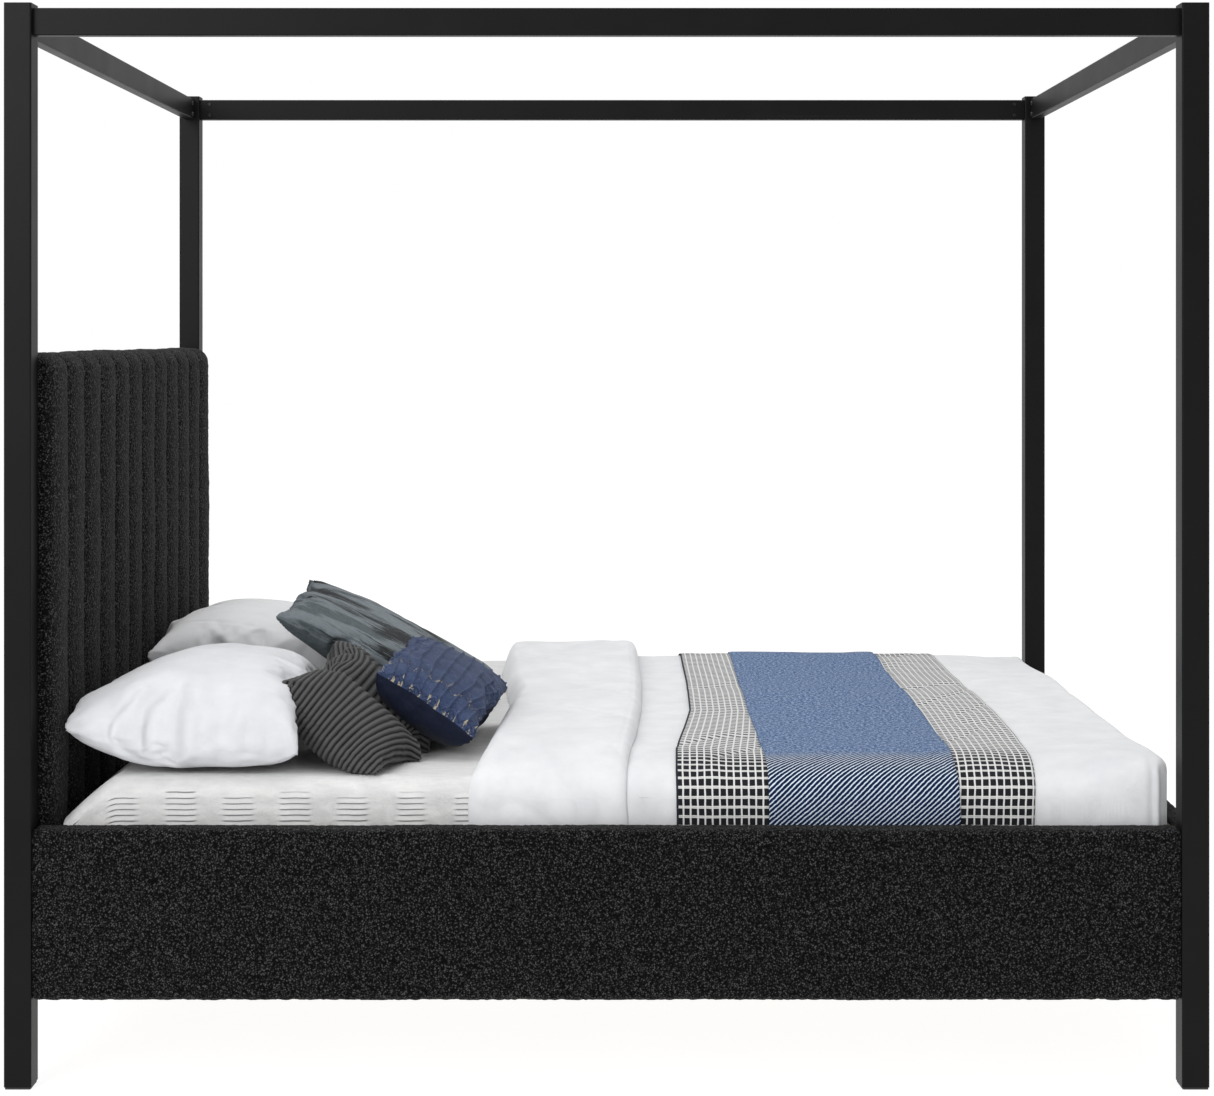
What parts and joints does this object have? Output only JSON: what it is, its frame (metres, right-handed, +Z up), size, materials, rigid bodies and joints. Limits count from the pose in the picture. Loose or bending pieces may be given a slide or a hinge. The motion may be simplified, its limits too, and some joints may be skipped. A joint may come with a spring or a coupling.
{
  "type": "four poster canopy bed",
  "caption": "Queen size four poster bed with a square tube canopy frame, channelled boucle headboard, padded rails, slatted base, mattress and dressed bedding.",
  "frame": {"origin": "on the floor under the middle of the bed", "axes": "+X towards the foot of the bed, +Y towards the far side, +Z up"},
  "size_m": [2.184, 1.66, 1.969],
  "materials": {
    "black_steel": "satin black powder coat",
    "black_screw": "satin black",
    "zinc_steel": "bright zinc plate",
    "black_plastic": "matt",
    "plywood": "bare",
    "pine": "planed",
    "slat_wood": "planed",
    "boucle": "looped black boucle",
    "lining": "matt black lining cloth",
    "webbing": "woven webbing",
    "ticking": "quilted",
    "foam": "open cell foam",
    "spring_core": "steel coils in cloth pockets, shown as one block",
    "grey_sheeting": "smooth cotton with pin tucks",
    "white_cotton": "washed cotton",
    "check_wool": "woven windowpane check",
    "blue_weave": "diagonal two-colour weave",
    "pillow_cotton": "plain cotton",
    "corduroy": "ribbed",
    "printed_velvet": "short pile with a brushed print",
    "pintuck_blue": "pin-tucked, with metallic flecks"
  },
  "bodies": {
    "bedstead": {"post_head_near": "black_steel", "post_head_far": "black_steel", "post_foot_near": "black_steel", "post_foot_far": "black_steel", "post_caps": "black_steel", "post_glides": "black_plastic", "canopy_rail_near": "black_steel", "canopy_rail_far": "black_steel", "canopy_rail_head": "black_steel", "canopy_rail_foot": "black_steel", "canopy_spigots": "zinc_steel", "canopy_screws": "black_screw", "headboard_panel": "plywood", "headboard_padding": "boucle", "headboard_back_cloth": "lining", "side_rail_near_board": "plywood", "side_rail_near_padding": "boucle", "side_rail_far_board": "plywood", "side_rail_far_padding": "boucle", "footboard_board": "plywood", "footboard_padding": "boucle", "hook_plates": "zinc_steel", "wood_screws": "zinc_steel", "slat_ledger_near": "pine", "slat_ledger_far": "pine", "head_cross_rail": "pine", "cross_rail_brackets": "zinc_steel", "slat_straps": "webbing", "centre_beam": "pine", "beam_hangers": "zinc_steel", "centre_legs": "black_steel", "slat_01": "slat_wood", "slat_02": "slat_wood", "slat_03": "slat_wood", "slat_04": "slat_wood", "slat_05": "slat_wood", "slat_06": "slat_wood", "slat_07": "slat_wood", "slat_08": "slat_wood", "slat_09": "slat_wood", "slat_10": "slat_wood", "slat_11": "slat_wood", "slat_12": "slat_wood"},
    "mattress_set": {"mattress_top_panel": "ticking", "mattress_border": "ticking", "mattress_base_panel": "ticking", "mattress_foam": "foam", "mattress_springs": "spring_core", "coverlet": "grey_sheeting", "duvet": "white_cotton", "check_throw": "check_wool", "blue_throw": "blue_weave"},
    "leveller_head": {"leveller_head": "black_plastic"},
    "leveller_middle": {"leveller_middle": "black_plastic"},
    "leveller_foot": {"leveller_foot": "black_plastic"},
    "pillow_near": {"pillow_near": "pillow_cotton"},
    "pillow_far": {"pillow_far": "pillow_cotton"},
    "ribbed_cushion": {"ribbed_cushion": "corduroy"},
    "printed_cushion": {"printed_cushion": "printed_velvet"},
    "blue_cushion": {"blue_cushion": "pintuck_blue"}
  },
  "joints": [
    {"name": "mattress_lift", "type": "slide", "parent": "bedstead", "child": "mattress_set", "axis": [0, 0, 1], "range_m": [0, 0.3]},
    {"name": "pillow_near_pull", "type": "slide", "parent": "mattress_set", "child": "pillow_near", "axis": [0, -1, 0], "range_m": [0, 0.25]},
    {"name": "pillow_far_pull", "type": "slide", "parent": "mattress_set", "child": "pillow_far", "axis": [0, 1, 0], "range_m": [0, 0.15]},
    {"name": "printed_cushion_lift", "type": "slide", "parent": "pillow_far", "child": "printed_cushion", "axis": [0.1881, 0.2822, 0.9407], "range_m": [0, 0.15]},
    {"name": "ribbed_cushion_lift", "type": "slide", "parent": "pillow_near", "child": "ribbed_cushion", "axis": [0.4319, -0.2592, 0.8639], "range_m": [0, 0.15]},
    {"name": "blue_cushion_lift", "type": "slide", "parent": "ribbed_cushion", "child": "blue_cushion", "axis": [0.6247, 0, 0.7809], "range_m": [0, 0.15]},
    {"name": "leveller_head_screw", "type": "slide", "parent": "bedstead", "child": "leveller_head", "axis": [0, 0, 1], "range_m": [0, 0.02]},
    {"name": "leveller_middle_screw", "type": "slide", "parent": "bedstead", "child": "leveller_middle", "axis": [0, 0, 1], "range_m": [0, 0.02]},
    {"name": "leveller_foot_screw", "type": "slide", "parent": "bedstead", "child": "leveller_foot", "axis": [0, 0, 1], "range_m": [0, 0.02]}
  ]
}
